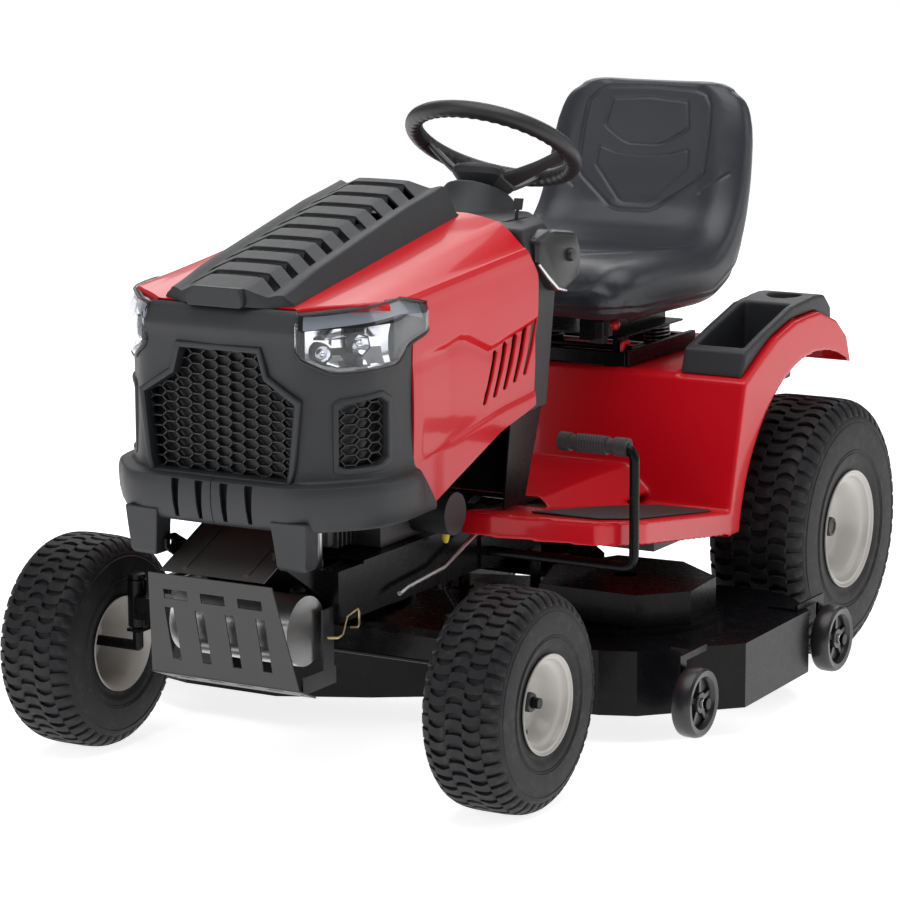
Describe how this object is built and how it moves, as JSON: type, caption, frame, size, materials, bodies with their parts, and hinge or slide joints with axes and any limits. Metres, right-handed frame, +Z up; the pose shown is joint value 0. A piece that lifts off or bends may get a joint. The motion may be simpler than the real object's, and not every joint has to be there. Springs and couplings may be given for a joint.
{
  "type": "riding lawn mower",
  "caption": "Riding lawn mower with tilting hood, high-back seat, steered front wheels and side-discharge mowing deck.",
  "frame": {"origin": "on the ground at the middle of the overall length and width, discharge deflector included; the tractor's own centreline lies 0.1065 m towards +X", "axes": "+Z up, +Y towards the rear along the tractor, +X towards the driver's left; the nose faces -Y"},
  "size_m": [1.447, 1.758, 1.1281],
  "materials": {
    "red_paint": "gloss",
    "black_paint": "gloss",
    "charcoal_plastic": "matte",
    "tyre_rubber": "matte",
    "rim_paint": "satin",
    "rubber": "matte",
    "vinyl": "satin",
    "cast_alloy": "satin",
    "black_plastic": "satin",
    "steel": "satin",
    "satin_dark_steel": "satin",
    "clear_lens": "gloss",
    "chrome": "gloss",
    "wheel_plastic": "satin"
  },
  "bodies": {
    "chassis": {"chassis_frame": "black_paint", "hitch_plate": "black_paint", "engine_block": "cast_alloy", "engine_shroud": "black_plastic", "oil_filter": "black_plastic", "muffler": "steel", "muffler_guard": "satin_dark_steel", "muffler_heat_shield": "satin_dark_steel", "transaxle": "cast_alloy", "fuel_tank": "charcoal_plastic", "fender_body": "red_paint", "fender_tray_left": "charcoal_plastic", "fender_tray_right": "charcoal_plastic", "foot_mats": "rubber", "dash_tower": "charcoal_plastic", "column_panel": "black_paint", "drive_pedal_stand": "black_paint"},
    "axle": {"axle_beam": "black_paint"},
    "spindle_l": {"spindle_left": "black_paint"},
    "spindle_r": {"spindle_right": "black_paint"},
    "tie": {"tie_rod": "black_paint"},
    "drag": {"drag_link": "black_paint"},
    "sector": {"steering_sector": "steel"},
    "steering": {"steering_shaft": "steel", "steering_wheel": "black_plastic"},
    "wheel_fl": {"front_tyre_left": "tyre_rubber", "front_rim_left": "rim_paint"},
    "wheel_fr": {"front_tyre_right": "tyre_rubber", "front_rim_right": "rim_paint"},
    "wheel_rl": {"rear_tyre_left": "tyre_rubber", "rear_rim_left": "rim_paint"},
    "wheel_rr": {"rear_tyre_right": "tyre_rubber", "rear_rim_right": "rim_paint"},
    "hood": {"hood_shell": "red_paint", "hood_scoop": "charcoal_plastic", "front_fascia": "charcoal_plastic", "grille_mesh": "charcoal_plastic", "headlight_lenses": "clear_lens", "headlight_housings": "chrome"},
    "seat_base": {"seat_bracket": "black_paint"},
    "seat": {"seat_cushion": "vinyl"},
    "brake": {"brake_pedal_lever": "black_paint", "brake_pedal_pad": "rubber"},
    "drive": {"drive_pedal": "rubber"},
    "lift": {"lift_lever": "black_paint"},
    "deck": {"deck_shell": "black_paint", "deck_covers": "black_paint", "deck_hangers": "black_paint"},
    "blade_l": {"blade_left": "steel"},
    "blade_r": {"blade_right": "steel"},
    "crank": {"engine_pulley": "steel"},
    "gauge_fl": {"gauge_wheel_front_left": "wheel_plastic"},
    "gauge_fr": {"gauge_wheel_front_right": "wheel_plastic"},
    "gauge_rl": {"gauge_wheel_rear_left": "wheel_plastic"},
    "gauge_rr": {"gauge_wheel_rear_right": "wheel_plastic"},
    "chute": {"discharge_deflector": "black_paint"},
    "throttle": {"throttle_lever": "charcoal_plastic"},
    "pto": {"pto_knob": "charcoal_plastic"},
    "key": {"ignition_key": "steel"}
  },
  "joints": [
    {"name": "front_axle_rock", "type": "hinge", "parent": "chassis", "child": "axle", "pos_m": [0.1065, -0.625, 0.265], "axis": [0, 1, 0], "range_deg": [-5, 5]},
    {"name": "left_spindle_steer", "type": "hinge", "parent": "axle", "child": "spindle_l", "pos_m": [0.4315, -0.625, 0.265], "axis": [0, 0, 1], "range_deg": [-25, 25]},
    {"name": "right_spindle_steer", "type": "hinge", "parent": "axle", "child": "spindle_r", "pos_m": [-0.2185, -0.625, 0.265], "axis": [0, 0, 1], "range_deg": [-25, 25]},
    {"name": "tie_rod_swing", "type": "hinge", "parent": "spindle_l", "child": "tie", "pos_m": [0.4315, -0.53, 0.208], "axis": [0, 0, 1], "range_deg": [-25, 25]},
    {"name": "drag_link_swing", "type": "hinge", "parent": "spindle_l", "child": "drag", "pos_m": [0.4315, -0.53, 0.233], "axis": [0, 0, 1], "range_deg": [-25, 25]},
    {"name": "steering_sector_turn", "type": "hinge", "parent": "chassis", "child": "sector", "pos_m": [0.1065, -0.198, 0.43], "axis": [0, 0, 1], "range_deg": [-25, 25]},
    {"name": "steering_wheel_turn", "type": "hinge", "parent": "chassis", "child": "steering", "pos_m": [0.1065, 0.05, 0.967], "axis": [0, 0.5, 0.866], "range_deg": [-150, 150]},
    {"name": "front_left_wheel_spin", "type": "hinge", "parent": "spindle_l", "child": "wheel_fl", "pos_m": [0.5375, -0.625, 0.1905], "axis": [1, 0, 0], "continuous": true},
    {"name": "front_right_wheel_spin", "type": "hinge", "parent": "spindle_r", "child": "wheel_fr", "pos_m": [-0.3245, -0.625, 0.1905], "axis": [1, 0, 0], "continuous": true},
    {"name": "rear_left_wheel_spin", "type": "hinge", "parent": "chassis", "child": "wheel_rl", "pos_m": [0.5095, 0.625, 0.254], "axis": [1, 0, 0], "continuous": true},
    {"name": "rear_right_wheel_spin", "type": "hinge", "parent": "chassis", "child": "wheel_rr", "pos_m": [-0.2965, 0.625, 0.254], "axis": [1, 0, 0], "continuous": true},
    {"name": "hood_tilt", "type": "hinge", "parent": "chassis", "child": "hood", "pos_m": [0.1065, -0.832, 0.442], "axis": [1, 0, 0], "range_deg": [0, 60]},
    {"name": "seat_tilt", "type": "hinge", "parent": "chassis", "child": "seat_base", "pos_m": [0.1065, 0.33, 0.628], "axis": [1, 0, 0], "range_deg": [0, 25]},
    {"name": "seat_slide", "type": "slide", "parent": "seat_base", "child": "seat", "axis": [0, 1, 0], "range_m": [-0.04, 0.04]},
    {"name": "brake_pedal_press", "type": "hinge", "parent": "chassis", "child": "brake", "pos_m": [0.1065, -0.18, 0.326], "axis": [1, 0, 0], "range_deg": [0, 25], "stiffness_Nm_per_rad": 20, "springref_deg": -11.46},
    {"name": "drive_pedal_rock", "type": "hinge", "parent": "chassis", "child": "drive", "pos_m": [-0.1635, -0.12, 0.436], "axis": [1, 0, 0], "range_deg": [-10, 10], "stiffness_Nm_per_rad": 10},
    {"name": "lift_lever_pull", "type": "hinge", "parent": "chassis", "child": "lift", "pos_m": [0.1065, 0.2, 0.345], "axis": [1, 0, 0], "range_deg": [-26.67, 0]},
    {"name": "deck_height", "type": "slide", "parent": "chassis", "child": "deck", "axis": [0, 0, 1], "range_m": [0, 0.04]},
    {"name": "left_blade_spin", "type": "hinge", "parent": "deck", "child": "blade_l", "pos_m": [0.3885, 0.08, 0.12], "axis": [0, 0, 1], "continuous": true},
    {"name": "right_blade_spin", "type": "hinge", "parent": "deck", "child": "blade_r", "pos_m": [-0.1875, -0.078, 0.12], "axis": [0, 0, 1], "continuous": true},
    {"name": "engine_pulley_spin", "type": "hinge", "parent": "chassis", "child": "crank", "pos_m": [0.1065, -0.405, 0.3], "axis": [0, 0, 1], "continuous": true},
    {"name": "front_left_gauge_spin", "type": "hinge", "parent": "deck", "child": "gauge_fl", "pos_m": [0.6765, -0.202, 0.105], "axis": [1, 0, 0], "continuous": true},
    {"name": "front_right_gauge_spin", "type": "hinge", "parent": "deck", "child": "gauge_fr", "pos_m": [-0.4975, -0.33, 0.105], "axis": [1, 0, 0], "continuous": true},
    {"name": "rear_left_gauge_spin", "type": "hinge", "parent": "deck", "child": "gauge_rl", "pos_m": [0.6965, 0.345, 0.105], "axis": [1, 0, 0], "continuous": true},
    {"name": "rear_right_gauge_spin", "type": "hinge", "parent": "deck", "child": "gauge_rr", "pos_m": [-0.4595, 0.196, 0.105], "axis": [1, 0, 0], "continuous": true},
    {"name": "deflector_lift", "type": "hinge", "parent": "deck", "child": "chute", "pos_m": [-0.4995, -0.08, 0.181], "axis": [0, 1, 0], "range_deg": [0, 80], "stiffness_Nm_per_rad": 0.3, "springref_deg": -22.92},
    {"name": "throttle_set", "type": "hinge", "parent": "chassis", "child": "throttle", "pos_m": [0.2625, -0.105, 0.85], "axis": [1, 0, 0], "range_deg": [-15, 15]},
    {"name": "pto_knob_pull", "type": "slide", "parent": "chassis", "child": "pto", "axis": [0, 0, 1], "range_m": [0, 0.02]},
    {"name": "ignition_key_turn", "type": "hinge", "parent": "chassis", "child": "key", "pos_m": [-0.0135, -0.06, 0.9], "axis": [0, 0, 1], "range_deg": [0, 60]}
  ],
  "couplings": [
    {"joint": "right_spindle_steer", "follows": "left_spindle_steer", "ratio": 1},
    {"joint": "tie_rod_swing", "follows": "left_spindle_steer", "ratio": -1},
    {"joint": "drag_link_swing", "follows": "left_spindle_steer", "ratio": -1},
    {"joint": "steering_sector_turn", "follows": "left_spindle_steer", "ratio": 1},
    {"joint": "steering_wheel_turn", "follows": "left_spindle_steer", "ratio": 6},
    {"joint": "lift_lever_pull", "follows": "deck_height", "rad_per_m": -11.635},
    {"joint": "right_blade_spin", "follows": "left_blade_spin", "ratio": 1}
  ]
}
